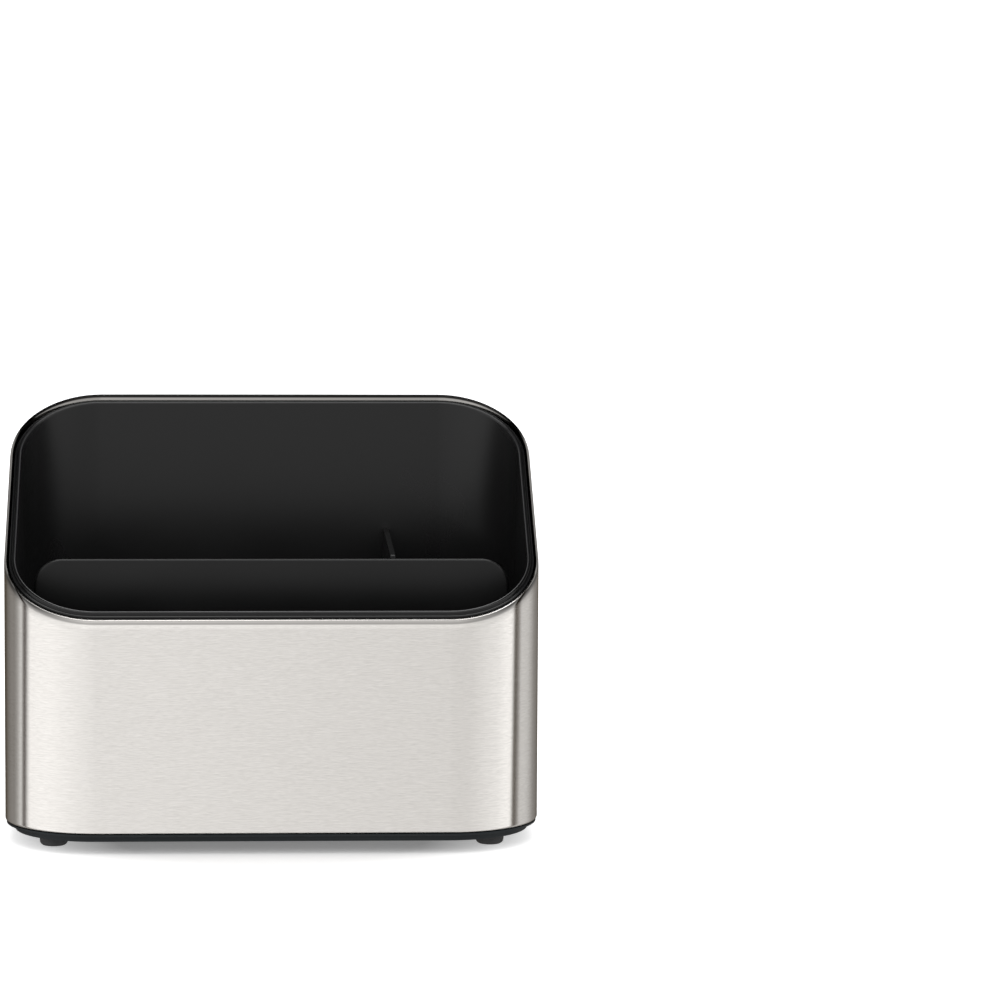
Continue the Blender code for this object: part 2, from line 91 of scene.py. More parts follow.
def shading_group():
    """Geometry nodes that join facets and leave only edges over SHARP_ANGLE sharp."""
    group = bpy.data.node_groups.new("shade_by_angle", "GeometryNodeTree")
    for way in ("INPUT", "OUTPUT"):
        group.interface.new_socket("Geometry", in_out=way, socket_type="NodeSocketGeometry")
    make = group.nodes.new
    join = make("GeometryNodeMergeByDistance")
    join.inputs["Distance"].default_value = FACET_JOIN
    forget = make("GeometryNodeRemoveAttribute")
    forget.inputs["Name"].default_value = "custom_normal"
    faces = make("GeometryNodeSetShadeSmooth")
    edges = make("GeometryNodeSetShadeSmooth")
    edges.domain = "EDGE"
    fold = make("GeometryNodeInputMeshEdgeAngle")
    gentle = make("FunctionNodeCompare")
    gentle.operation = "LESS_EQUAL"
    gentle.inputs["B"].default_value = SHARP_ANGLE
    group.links.new(fold.outputs["Unsigned Angle"], gentle.inputs["A"])
    group.links.new(gentle.outputs["Result"], edges.inputs["Shade Smooth"])
    chain = (make("NodeGroupInput"), join, forget, faces, edges, make("NodeGroupOutput"))
    for earlier, later in zip(chain, chain[1:]):
        group.links.new(earlier.outputs[0], later.inputs[0])
    return group


shade_by_angle = shading_group()
for piece in nodes.values():
    piece.modifiers.new("shade_by_angle", "NODES").node_group = shade_by_angle
    weighted = piece.modifiers.new("weighted_normals", "WEIGHTED_NORMAL")
    weighted.keep_sharp = True
print("shaded smooth:", len(nodes), "pieces")

# %% [markdown]
# ## A small tool for shader nodes
# Each finish below is a Principled shader fed by a few texture nodes, and the room that
# the steel mirrors is a tree of nodes too. Nodes could be made one call at a time, which
# hides the idea behind the wiring. These helpers make a node, set its values and join
# its inputs in one line.

# %% Helpers that build and join the nodes of any shader
class Wiring:
    """Short ways to add nodes to one shader tree."""

    # A Mix node's two inputs and its output, for each type of data it can mix
    MIX_SOCKETS = {"FLOAT": (2, 3, 0), "VECTOR": (4, 5, 1), "RGBA": (6, 7, 2)}

    def __init__(self, tree):
        self.tree = tree

    def feed(self, socket, value):
        """Link an output to the socket, or set a plain value on it."""
        if isinstance(value, bpy.types.NodeSocket):
            self.tree.links.new(value, socket)
        else:
            socket.default_value = value

    def add(self, kind, settings=None, placed=None, **named):
        """Add a node and feed its inputs by place, or by name with _ for a space."""
        node = self.tree.nodes.new(kind)
        for key, value in (settings or {}).items():
            setattr(node, key, value)
        for place, value in (placed or {}).items():
            self.feed(node.inputs[place], value)
        for name, value in named.items():
            self.feed(node.inputs[name.replace("_", " ")], value)
        return node

    def math(self, operation, *values):
        """What an operation makes of one or two numbers."""
        settings = {"operation": operation}
        node = self.add("ShaderNodeMath", settings, dict(enumerate(values)))
        return node.outputs["Value"]

    def vector(self, operation, *values):
        """What an operation makes of one or two vectors."""
        settings = {"operation": operation}
        node = self.add("ShaderNodeVectorMath", settings, dict(enumerate(values)))
        return node.outputs["Value" if operation in ("DOT_PRODUCT", "LENGTH") else "Vector"]

    def axes(self, vector):
        """The outputs X, Y and Z of a vector."""
        return self.add("ShaderNodeSeparateXYZ", Vector=vector).outputs

    def ramp(self, value, low, high, start=0.0, end=1.0, curve="LINEAR"):
        """Map value from the range low..high to the range start..end."""
        node = self.add("ShaderNodeMapRange", {"interpolation_type": curve}, Value=value,
                        From_Min=low, From_Max=high, To_Min=start, To_Max=end)
        return node.outputs["Result"]

    def steps(self, value, stops, warmth=(0, 0, 0)):
        """A tone that runs through stops, each a value and the tone there.

        Warmth shifts the red, green and blue of the tones that are dark.
        """
        low, high = stops[0][0], stops[-1][0]
        node = self.add("ShaderNodeValToRGB", Fac=self.ramp(value, low, high))
        elements = node.color_ramp.elements
        while len(elements) < len(stops):
            elements.new(0.5)
        for element, (place, tone) in zip(elements, stops):
            element.position = (place - low) / (high - low)
            darkness = 1 - min(tone, 1)
            element.color = (*(max(tone + shift * darkness, 0) for shift in warmth), 1)
        return node.outputs["Color"]

    def mix(self, data, share, first, second, way="MIX"):
        """What a Mix node for this type of data makes of first and second."""
        one, other, result = self.MIX_SOCKETS[data]
        node = self.add("ShaderNodeMix", {"data_type": data, "blend_type": way},
                        {0: share, one: first, other: second})
        return node.outputs[result]

    def blend(self, share, first, second):
        """A number between first and second."""
        return self.mix("FLOAT", share, first, second)

    def turned(self, share, first, second):
        """A direction between first and second."""
        return self.vector("NORMALIZE", self.mix("VECTOR", share, first, second))

    def tint(self, share, dark, light):
        """A colour between dark and light."""
        return self.mix("RGBA", share, (*dark, 1), (*light, 1))

    def toned(self, colour, tone):
        """A colour times a number."""
        settings = {"operation": "SCALE"}
        node = self.add("ShaderNodeVectorMath", settings, {0: colour}, Scale=tone)
        return node.outputs["Vector"]


print("helpers for nodes:", ", ".join(name for name in vars(Wiring) if name.islower()
                                      and name[0] != "_"))

# %% A finish, and how it gets onto a piece
class Finish(Wiring):
    """A new material with one Principled shader."""

    def __init__(self, name):
        self.material = bpy.data.materials.new(name)
        self.material.use_nodes = True
        super().__init__(self.material.node_tree)
        self.shader = self.tree.nodes["Principled BSDF"]

    def shade(self, **inputs):
        """Feed the shader's inputs, by name with _ for a space."""
        for name, value in inputs.items():
            self.feed(self.shader.inputs[name.replace("_", " ")], value)

    def place(self):
        """Where a point lies on the caddy at rest."""
        return self.add("ShaderNodeTexCoord").outputs["Object"]

    def normal(self):
        """Which way the surface faces."""
        return self.add("ShaderNodeNewGeometry").outputs["Normal"]

    def noise(self, cells, detail=2.0, roughness=0.5, turned=(0, 0, 0)):
        """Noise with so many cells to the metre, in all directions or along each axis."""
        scale = cells if isinstance(cells, tuple) else (cells,) * 3
        mapped = self.add("ShaderNodeMapping", Vector=self.place(), Scale=scale,
                          Rotation=turned)
        texture = self.add("ShaderNodeTexNoise", Vector=mapped.outputs["Vector"], Scale=1.0,
                           Detail=detail, Roughness=roughness)
        return texture.outputs["Fac"]

    def bump(self, height, depth, strength, over=None):
        """Bump on the surface's own normal, or over another one."""
        node = self.add("ShaderNodeBump", Height=height, Distance=depth, Strength=strength)
        if over is not None:
            self.feed(node.inputs["Normal"], over)
        self.shade(Normal=node.outputs["Normal"])


def dress(names, material):
    """Give the named pieces one material."""
    for name in names:
        nodes[name].data.materials.clear()
        nodes[name].data.materials.append(material)
    print(material.name, "on", ", ".join(names))


print("helpers for a finish:", ", ".join(name for name in vars(Finish) if name[0] != "_"))

# %% [markdown]
# ## Finding the way round the sleeve
# The sleeve is stainless sheet bent round into a rectangle with large corners, with a
# rim that slopes up to the back. Its looks change with the place: scratches on the
# walls, a smoother lip, and painted highlights and painted shade along the lip and in
# the corners. An unwrapped image could hold all that. A few nodes do it without
# unwrapping, because they measure on the solid itself how far a point lies under the
# rim, how far round a corner, and whether it faces in.

# %% Where a point lies on the sleeve
sleeve_low, sleeve_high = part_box("outer_sleeve")
SLEEVE_CORNER = 0.0338
RIM_SLOPE = 0.555
RIM_FRONT = 0.0856
RIM_NORMAL = tuple(Vector((0, -RIM_SLOPE, 1)).normalized())
# A place times this loses its height
LEVEL = (1, 1, 0)


def under_rim(finish):
    """How far a point lies under the plane of the sloping rim."""
    place = finish.axes(finish.place())
    behind = finish.math("SUBTRACT", place["Y"], sleeve_low.y)
    height = finish.math("ADD", finish.math("MULTIPLY", behind, RIM_SLOPE), RIM_FRONT)
    return finish.math("SUBTRACT", height, place["Z"])


def round_corner(finish, start, full):
    """0 on the front and back, 1 on the sides, changing from start to full in a corner."""
    across = finish.math("ABSOLUTE", finish.axes(finish.place())["X"])
    inner = sleeve_high.x - SLEEVE_CORNER
    return finish.ramp(across, inner + SLEEVE_CORNER * start, inner + SLEEVE_CORNER * full)


def faces_inwards(finish):
    """1 where a wall faces the middle of the caddy, else 0."""
    coordinates = finish.add("ShaderNodeTexCoord").outputs
    level = finish.vector("MULTIPLY", coordinates["Object"], LEVEL)
    outwards = finish.vector("DOT_PRODUCT", level, coordinates["Normal"])
    return finish.math("LESS_THAN", outwards, 0.0)


print("the rim's slope in degrees:", round(math.degrees(math.atan(RIM_SLOPE)), 1))

# %% [markdown]
# ## The lines along the lip
# The sleeve ends in a rounded lip, a little thicker than the sheet. Thin light and dark
# lines follow it all the way round, on the outside and on the inside. They are the
# room's reflections and shade: darker in the corners, and on the inner face, which
# looks at the black tub. Reflections alone could draw them, but the lip is only a
# millimetre thick, and they would flicker from view to view. So the lines are painted
# highlights and painted shade, each a tone which the steel's colour is multiplied with.
# A point's depth under the rim picks it from a table, and the corners have their own.

# %% Tones of the lip
# Each stop is a depth under the rim in metres, and the painted tone there: over 1 a
# highlight, under 1 shade
FRONT_LIP_PAINTED_LIGHT = (
    (0.0003, 1.15), (0.0005, 0.72), (0.0011, 0.70), (0.0014, 0.56), (0.0018, 0.56),
    (0.0021, 1.10), (0.0030, 1.12), (0.0038, 1.0),
)
CORNER_LIP_PAINTED_LIGHT = (
    (0.0004, 1.35), (0.0006, 0.10), (0.0009, 0.08), (0.0013, 0.20), (0.0019, 0.38),
    (0.0025, 0.74), (0.0034, 0.86), (0.0048, 1.0),
)
INSIDE_LIP_PAINTED_LIGHT = ((0.0004, 0.02), (0.0008, 0.46), (0.0022, 0.46), (0.0045, 0.90))
CORNER_INSIDE_LIP_PAINTED_LIGHT = ((0.0008, 0.01), (0.0014, 0.04), (0.0022, 0.05), (0.0045, 0.90))
# Where a corner's tones start and are full, as a share of the way round it
CORNER_OUTSIDE = (0.10, 0.65)
CORNER_INSIDE = (0.42, 0.93)


def lip_painted_light(finish, depth):
    """The painted highlights and shade at each depth under the rim, outside and inside."""
    outside = finish.blend(round_corner(finish, *CORNER_OUTSIDE),
                           finish.steps(depth, FRONT_LIP_PAINTED_LIGHT),
                           finish.steps(depth, CORNER_LIP_PAINTED_LIGHT))
    inside = finish.blend(round_corner(finish, *CORNER_INSIDE),
                          finish.steps(depth, INSIDE_LIP_PAINTED_LIGHT),
                          finish.steps(depth, CORNER_INSIDE_LIP_PAINTED_LIGHT))
    return finish.blend(faces_inwards(finish), outside, inside)


# %% [markdown]
# ## The crown of the lip
# The top of the lip catches the light as one fine line. It is even along the front and
# the back, fades as it turns the corners, and gives way to a darker edge on the sides.
# How strong that line is along the rim is a painted highlight in the steel's colour, and
# the sides' darker edge is partly painted shade, partly the tilted normals below.
# Facets would break such a line up. They could be made finer, but it is enough to
# correct where they face. Those that look almost along the rim's normal are all given
# that very normal, and on the sides it is tilted, so that they mirror another part of
# the room.

# %% Shine and direction of the crown
# Each stop is a place from left to right in metres, and how much of the painted shine
# is left
CROWN_PAINTED_SHINE = (
    (-0.0960, 0.15), (-0.0932, 0.14), (-0.0912, 0.05), (-0.0866, 0.32), (-0.0800, 0.50),
    (-0.0740, 1.0), (0.0760, 1.0), (0.0800, 1.2), (0.0840, 1.1), (0.0870, 1.15),
    (0.0890, 0.50), (0.0913, 0.40), (0.0960, 0.40),
)
# Depths under the rim between which that table loses its hold
CROWN_DEPTH = (0.0004, 0.0008)
# Angles off the rim's normal at which a facet starts to turn, and turns all the way
CROWN_TURN = (math.radians(46), math.radians(34))
# The sides' darker edge: where it starts round a corner, its depth, tilt and painted shade
SIDE_LIP = (0.90, 0.98)
SIDE_LIP_DEPTH = (0.0006, 0.0010)
SIDE_LIP_TILT = math.radians(42)
SIDE_LIP_PAINTED_SHADE = 0.45


def crown_painted_shine(finish, depth):
    """How much of the painted shine is left on the crown, and 1 under it."""
    shine = finish.steps(finish.axes(finish.place())["X"], CROWN_PAINTED_SHINE)
    return finish.blend(finish.ramp(depth, *CROWN_DEPTH), shine, 1.0)


def side_lip(finish, depth):
    """1 on the crown of the two sides, else 0."""
    shallow = finish.ramp(depth, *SIDE_LIP_DEPTH, 1.0, 0.0)
    return finish.math("MULTIPLY", round_corner(finish, *SIDE_LIP), shallow)


def crown_normal(finish, on_side):
    """The surface's normal, turned to the rim's on the crown and tilted on the sides."""
    normal = finish.normal()
    along_rim = finish.vector("DOT_PRODUCT", normal, RIM_NORMAL)
    share = finish.ramp(along_rim, *(math.cos(angle) for angle in CROWN_TURN))
    crown = finish.turned(share, normal, RIM_NORMAL)
    side = finish.math("SIGN", finish.axes(normal)["X"])
    sideways = finish.math("MULTIPLY", side, math.tan(SIDE_LIP_TILT))
    tilt = finish.add("ShaderNodeCombineXYZ", X=sideways).outputs["Vector"]
    return finish.turned(on_side, crown, finish.vector("ADD", tilt, RIM_NORMAL))


print("the rim's normal:", ", ".join(str(round(number, 3)) for number in RIM_NORMAL))

# %% [markdown]
# ## Brushed steel
# The sheet was brushed along its length before it was bent, so the scratches run level
# all the way round. Light that meets them spreads up and down but stays sharp from side
# to side, which is why the corners show crisp upright bands. A picture of scratches
# would need unwrapping and would repeat. Noise squashed in height gives the scratches,
# and the shader's anisotropy, turned a quarter, gives the spread. The lip is smoother
# and has hardly any scratches.

# %% Level scratches
# Cells of noise to the metre along X, Y and Z
FINE_SCRATCHES = (420, 420, 4400)
LONG_SCRATCHES = (130, 130, 3200)
FINE_SHARE = 0.6
NOISE_MEAN = 0.5
# Depths under the rim where the lip's finish ends and the wall's is full
LIP_END = (0.0018, 0.0022)
# How much of the scratches shows on the lip
LIP_SCRATCHES = 0.1


def level_scratches(finish, depth):
    """Scratches, above and below 0."""
    fine = finish.noise(FINE_SCRATCHES, detail=1.0)
    long = finish.noise(LONG_SCRATCHES, detail=1.0)
    both = finish.math("ADD", finish.math("MULTIPLY", fine, FINE_SHARE),
                       finish.math("MULTIPLY", long, 1 - FINE_SHARE))
    shown = finish.ramp(depth, *LIP_END, LIP_SCRATCHES, 1.0)
    return finish.math("MULTIPLY", finish.math("SUBTRACT", both, NOISE_MEAN), shown)


# %% Brushed steel for the sleeve
# How far the scratches reach from 0, and the colours at either end
SCRATCH_REACH = 0.2
STEEL_DARK = (0.712, 0.686, 0.654)
STEEL_LIGHT = (0.832, 0.807, 0.775)
SCRATCH_DEPTH = 0.00002
SCRATCH_STRENGTH = 0.5
LIP_ROUGHNESS = 0.09
WALL_ROUGHNESS = 0.22
# Slow clouds that add to the roughness
STEEL_CLOUD_CELLS = 9
STEEL_CLOUD_ROUGHNESS = 0.03
# The shader's anisotropy, and how far round the tangent it is turned
FULL_SPREAD = 1.0
QUARTER_TURN = 0.25

steel = Finish("brushed_steel_finish")
depth = under_rim(steel)
on_side = side_lip(steel, depth)
scratches = level_scratches(steel, depth)
shade = steel.ramp(scratches, -SCRATCH_REACH, SCRATCH_REACH)
# The lip's lines, crown's shine and sides' dark edge: painted highlights and shade
tone = steel.math("MULTIPLY", lip_painted_light(steel, depth), crown_painted_shine(steel, depth))
tone = steel.blend(on_side, tone, SIDE_LIP_PAINTED_SHADE)
smooth = steel.ramp(depth, *LIP_END, LIP_ROUGHNESS, WALL_ROUGHNESS)
clouds = steel.noise(STEEL_CLOUD_CELLS, detail=1.0)
rough = steel.math("ADD", smooth, steel.math("MULTIPLY", clouds, STEEL_CLOUD_ROUGHNESS))
tangent = steel.add("ShaderNodeTangent", {"direction_type": "RADIAL", "axis": "Z"})
steel.shade(Base_Color=steel.toned(steel.tint(shade, STEEL_DARK, STEEL_LIGHT), tone),
            Roughness=rough, Tangent=tangent.outputs["Tangent"], Metallic=1.0,
            Anisotropic=FULL_SPREAD, Anisotropic_Rotation=QUARTER_TURN)
steel.bump(scratches, SCRATCH_DEPTH, SCRATCH_STRENGTH, over=crown_normal(steel, on_side))
dress(["outer_sleeve"], steel.material)

# %% [markdown]
# ## Painted highlights and shade along the tub's rim
# The tub's stepped rim shows inside the lip as a dark flat between two lighter edges.
# The edges mirror the bright room, the flat a darker part of it, and behind the lip
# lies a dark gap: so these lines are painted highlights and painted shade. They could
# be painted on by vertex, but the solids' meshes stay as they are. Here a point's
# distance inside the sleeve's outline picks its tone from a table. The front, the sides
# and the back catch the light in their own ways, so each has its table, and they are
# blended in the corners.

# %% Tones of the tub's rim
# Each stop is a distance inside the outline in metres, and the painted tone that the
# tub's tone is multiplied with there: over 1 a highlight, under 1 shade
SIDE_RIM_PAINTED_LIGHT = (
    (0.0018, 2.2), (0.0021, 1.4), (0.0025, 0.45), (0.0033, 0.40), (0.0036, 1.6),
    (0.0039, 4.0), (0.0042, 2.0), (0.0045, 1.0),
)
FRONT_RIM_PAINTED_LIGHT = (
    (0.0018, 0.0), (0.0022, 0.10), (0.0026, 0.35), (0.0030, 0.40), (0.0032, 6.0),
    (0.0034, 9.0), (0.0040, 9.0), (0.0042, 4.0), (0.0045, 1.0),
)
BACK_RIM_PAINTED_LIGHT = (
    (0.0018, 1.0), (0.0025, 0.45), (0.0033, 0.40), (0.0036, 0.8), (0.0039, 1.1),
    (0.0045, 1.0),
)
# How far behind the sleeve's front the front's look is still full, and has faded out
FRONT_FADE = (0.0050, 0.0115)
# How far before the sleeve's back the back's look starts, and is full
BACK_FADE = (0.0225, 0.0105)


def inside_outline(finish):
    """How far a point lies inside the sleeve's outline, seen from above."""
    level = finish.vector("MULTIPLY", finish.vector("ABSOLUTE", finish.place()), LEVEL)
    middle = (sleeve_high.x - SLEEVE_CORNER, sleeve_high.y - SLEEVE_CORNER, 0)
    beyond = finish.vector("SUBTRACT", level, middle)
    split = finish.axes(beyond)
    straight = finish.math("MINIMUM", finish.math("MAXIMUM", split["X"], split["Y"]), 0.0)
    round_part = finish.vector("LENGTH", finish.vector("MAXIMUM", beyond, (0, 0, 0)))
    return finish.math("SUBTRACT", SLEEVE_CORNER, finish.math("ADD", round_part, straight))


def at_front(finish):
    """1 along the front and round most of its corners, 0 further back."""
    full, end = (sleeve_low.y + reach for reach in FRONT_FADE)
    return finish.ramp(finish.axes(finish.place())["Y"], full, end, 1.0, 0.0)


def at_back(finish):
    """1 along the back and round most of its corners, 0 further forward."""
    start, full = (sleeve_high.y - reach for reach in BACK_FADE)
    return finish.ramp(finish.axes(finish.place())["Y"], start, full)


def rim_painted_light(finish):
    """Painted highlights on the edges of the tub's rim, painted shade on the flat between."""
    inset = inside_outline(finish)
    tone = finish.blend(at_front(finish), finish.steps(inset, SIDE_RIM_PAINTED_LIGHT),
                        finish.steps(inset, FRONT_RIM_PAINTED_LIGHT))
    return finish.blend(at_back(finish), tone, finish.steps(inset, BACK_RIM_PAINTED_LIGHT))


# %% [markdown]
# ## Where the plastic is worn
# Use leaves its traces within a few millimetres of the tub's rim and of the top edge of
# each panel. On the tub's rim the same band also carries the painted highlights and
# painted shade. A straight border between worn and new would look painted. It could be
# drawn as a curve, but noise that is added to the distance before it is compared gives
# a ragged border for nothing.

# %% Wear along the rim and along a panel's top
WEAR_CELLS = 160
RIM_WEAR = 0.0022
TOP_WEAR = 0.0016


def ragged(finish, size):
    """A length from 0 to size that changes from place to place."""
    return finish.math("MULTIPLY", finish.noise(WEAR_CELLS), size)


def rim_wear(finish):
    """1 along the tub's rim, 0 further down."""
    down = finish.math("ADD", under_rim(finish), ragged(finish, RIM_WEAR))
    return finish.ramp(down, RIM_WEAR, RIM_WEAR * 2, 1.0, 0.0)


def top_wear(name):
    """Wear along a panel's top edge, as a function of its finish."""
    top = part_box(name)[1].z

    def wear(finish):
        height = finish.axes(finish.place())["Z"]
        up = finish.math("ADD", height, ragged(finish, TOP_WEAR))
        return finish.ramp(up, top - TOP_WEAR, top + TOP_WEAR / 2)

    return wear


# %% [markdown]
# ## Satin black plastic
# The tub, the divider and the partition are moulded in black plastic with a fine spark
# texture: deep black where it faces the light squarely, a soft sheen at low angles. The
# texture is too fine to model, but it softens every highlight, so it is a bump. Slow
# noise in the tone and the roughness breaks the sheen, as use does. Worn places lose
# the texture and turn glossy, unless they face the front or lie at the back.

# %% Black plastic with a spark texture
# Red, green and blue of the darkest and lightest clouds, as shares of the tone
DARK_CLOUD = (0.85, 0.85, 0.87)
LIGHT_CLOUD = (1.17, 1.17, 1.21)
CLOUD_CELLS = 22
CLOUD_ROUGHNESS = 0.08
SPARK_CELLS = 1900
SPARK_GRIT = 0.7
SPARK_TURN = (0.5, 0.8, 0.3)
SPARK_DEPTH = 0.00002
SPARK_STRENGTH = 0.25
PLASTIC_IOR = 1.5
PLASTIC_SPECULAR = 0.32
# What is left of a panel's tone, and of any piece's roughness, where it is worn
WORN_TONE = 0.5
WORN_ROUGHNESS = 0.3
# The normal's Y where a worn edge faces the front, and where it no longer does
FRONT_FACING = (-0.80, -0.58)


def glossy_wear(finish, worn):
    """Where a worn place is glossy: not where it faces the front, nor at the back."""
    facing = finish.ramp(finish.axes(finish.normal())["Y"], *FRONT_FACING)
    glossy = finish.math("MULTIPLY", worn, facing)
    return finish.math("MULTIPLY", glossy, finish.math("SUBTRACT", 1.0, at_back(finish)))


def satin_black(name, tone, roughness, wear=None, painted_rim_light=None):
    """Black plastic; wear gives the share of each point that use has polished."""
    finish = Finish(name)
    spark = finish.noise(SPARK_CELLS, detail=3.0, roughness=SPARK_GRIT, turned=SPARK_TURN)
    cloud = finish.noise(CLOUD_CELLS, detail=3.0)
    dark, light = ([tone * share for share in shares] for shares in (DARK_CLOUD, LIGHT_CLOUD))
    colour = finish.tint(cloud, dark, light)
    satin = finish.ramp(cloud, 0, 1, roughness - CLOUD_ROUGHNESS, roughness + CLOUD_ROUGHNESS)
    if wear:
        worn = wear(finish)
        # On the tub's rim this tone is painted light: highlights on its edges, shade between
        left = painted_rim_light(finish) if painted_rim_light else WORN_TONE
        colour = finish.toned(colour, finish.blend(worn, 1.0, left))
        satin = finish.blend(glossy_wear(finish, worn), satin, roughness * WORN_ROUGHNESS)
        spark = finish.math("MULTIPLY", spark, finish.math("SUBTRACT", 1.0, worn))
    finish.bump(spark, SPARK_DEPTH, SPARK_STRENGTH)
    finish.shade(Base_Color=colour, Roughness=satin, IOR=PLASTIC_IOR,
                 Specular_IOR_Level=PLASTIC_SPECULAR)
    return finish.material


# %% Black plastic for the tub, its panels and the tray
TUB_TONE = 0.008
DIVIDER_TONE = 0.0055
TRAY_TONE = 0.014
TUB_ROUGHNESS = 0.30
PANEL_ROUGHNESS = 0.32
TRAY_ROUGHNESS = 0.5

dress(["inner_tub"],
      satin_black("tub_satin_black", TUB_TONE, TUB_ROUGHNESS, rim_wear, rim_painted_light))
dress(["sponge_divider"],
      satin_black("divider_satin_black", DIVIDER_TONE, PANEL_ROUGHNESS,
                  top_wear("sponge_divider")))
dress(["brush_partition"],
      satin_black("partition_satin_black", TUB_TONE, PANEL_ROUGHNESS,
                  top_wear("brush_partition")))
dress(["clamp_tray"], satin_black("tray_black", TRAY_TONE, TRAY_ROUGHNESS))

# %% [markdown]
# ## Base, feet and screws
# The base plate shows as a dark slate edge under the steel: matt, and a little bluer
# than the tub. The feet are soft rubber, which scatters light evenly. The screws are
# zinc plated. Each could be one flat colour, which looks like a toy's. One even noise
# that moves the colour and the roughness together is enough to give all three their
# clouds, dust or mottle, so they share a helper and differ in their values.

# %% A finish that one noise mottles
# The part of the noise's range that most of its values lie in
NOISE_MIDDLE = (0.3, 0.7)


def mottled(name, cells, colours, roughness, detail=2.0):
    """A finish between two colours and two roughnesses, as one noise mixes them."""
    finish = Finish(name)
    mottle = finish.noise(cells, detail)
    finish.shade(Base_Color=finish.tint(mottle, *colours),
                 Roughness=finish.ramp(mottle, *NOISE_MIDDLE, *roughness))
    return finish


def pieces_called(start):
    """The pieces whose names start so, in order."""
    return sorted(name for name in nodes if name.startswith(start))


print("feet:", len(pieces_called("foot_")), "and screws:", len(pieces_called("screw_")))

# %% Slate plastic for the base plate
SLATE_CELLS = 30
SLATE_COLOURS = ((0.008, 0.011, 0.013), (0.011, 0.015, 0.0175))
SLATE_ROUGHNESS = (0.40, 0.50)
SLATE_SPECULAR = 0.25
SLATE_TEXTURE_CELLS = 1800
SLATE_TEXTURE_DEPTH = 0.00003
SLATE_TEXTURE_STRENGTH = 0.4

slate = mottled("base_slate", SLATE_CELLS, SLATE_COLOURS, SLATE_ROUGHNESS)
slate.shade(Specular_IOR_Level=SLATE_SPECULAR)
slate.bump(slate.noise(SLATE_TEXTURE_CELLS, detail=1.0), SLATE_TEXTURE_DEPTH,
           SLATE_TEXTURE_STRENGTH)
dress(["base_plate"], slate.material)

# %% Rubber for the feet
RUBBER_CELLS = 260
RUBBER_COLOURS = ((0.028, 0.028, 0.030), (0.048, 0.047, 0.046))
RUBBER_ROUGHNESS = (0.62, 0.80)
RUBBER_TEXTURE_CELLS = 1500
RUBBER_TEXTURE_DEPTH = 0.00004
RUBBER_TEXTURE_STRENGTH = 0.5

rubber = mottled("foot_rubber_finish", RUBBER_CELLS, RUBBER_COLOURS, RUBBER_ROUGHNESS,
                 detail=3.0)
rubber.bump(rubber.noise(RUBBER_TEXTURE_CELLS), RUBBER_TEXTURE_DEPTH,
            RUBBER_TEXTURE_STRENGTH)
dress(pieces_called("foot_"), rubber.material)

# %% Zinc for the screws
ZINC_CELLS = 900
ZINC_COLOURS = ((0.50, 0.50, 0.49), (0.66, 0.66, 0.64))
ZINC_ROUGHNESS = (0.28, 0.42)
ZINC_DEPTH = 0.00002
ZINC_STRENGTH = 0.4

zinc = mottled("screw_zinc_finish", ZINC_CELLS, ZINC_COLOURS, ZINC_ROUGHNESS)
zinc.shade(Metallic=1.0)
zinc.bump(zinc.noise(ZINC_CELLS), ZINC_DEPTH, ZINC_STRENGTH)
dress(pieces_called("screw_"), zinc.material)

# %% [markdown]
# ## The floor
# The caddy stands on a plain white sweep that runs out of sight. More light would turn
# it white in the picture, but would bleach the caddy and its shadow too. So the floor
# has a pale colour and glows by itself, only for rays that look straight at it. The
# glow is weaker close to the caddy, which deepens the lamp's soft shadow under it with
# painted shadow, and stronger beside it, which paints that shadow lighter there.

# %% A wide floor, just under the feet
FLOOR_HALF = 40.0
FLOOR_DROP = 0.0002

floor_mesh = bpy.data.meshes.new("floor")
quarters = ((-1, -1), (1, -1), (1, 1), (-1, 1))
corners = [(x * FLOOR_HALF, y * FLOOR_HALF, 0) for x, y in quarters]
floor_mesh.from_pydata(corners, [], [(0, 1, 2, 3)])
floor = bpy.data.objects.new("floor", floor_mesh)
bpy.context.scene.collection.objects.link(floor)
floor.location.z = -FLOOR_DROP
print("floor width in metres:", FLOOR_HALF * 2)

# %% White that keeps the shadow
WHITE = (1, 1, 1, 1)
FLOOR_COLOUR = (0.86, 0.86, 0.86, 1)
FLOOR_ROUGHNESS = 0.6
# Distances from the caddy's middle, sideways ones counted more, and the glow there;
# the weaker glow near the caddy is painted shadow
GLOW_STRETCH = (1.3, 1.0, 0.0)
GLOW_REACH = (0.085, 0.135)
GLOW_STRENGTH = (0.20, 0.45)
# Distances to either side, and the glow that is added there, painting the shadow lighter
SIDE_GLOW_REACH = (0.055, 0.10)
SIDE_GLOW_STRENGTH = (0.0, 0.22)


def seen_by(wiring, *rays):
    """1 for a ray of one of these kinds, else 0."""
    path = wiring.add("ShaderNodeLightPath").outputs
    seen = path[f"Is {rays[0]} Ray"]
    for ray in rays[1:]:
        seen = wiring.math("MAXIMUM", seen, path[f"Is {ray} Ray"])
    return seen


white = Finish("floor_white")
away = white.vector("LENGTH", white.vector("MULTIPLY", white.place(), GLOW_STRETCH))
beside = white.math("ABSOLUTE", white.axes(white.place())["X"])
# Painted shadow: the glow is weaker near the caddy and is raised beside it
glow = white.math("ADD", white.ramp(away, *GLOW_REACH, *GLOW_STRENGTH),
                  white.ramp(beside, *SIDE_GLOW_REACH, *SIDE_GLOW_STRENGTH))
direct = seen_by(white, "Camera", "Glossy", "Transmission")
white.shade(Base_Color=FLOOR_COLOUR, Roughness=FLOOR_ROUGHNESS, Emission_Color=WHITE,
            Emission_Strength=white.math("MULTIPLY", direct, glow))
floor_mesh.materials.append(white.material)
# The steel mirrors the room alone
floor.visible_glossy = False
print("the floor's strongest glow:", round(GLOW_STRENGTH[1] + SIDE_GLOW_STRENGTH[1], 2))

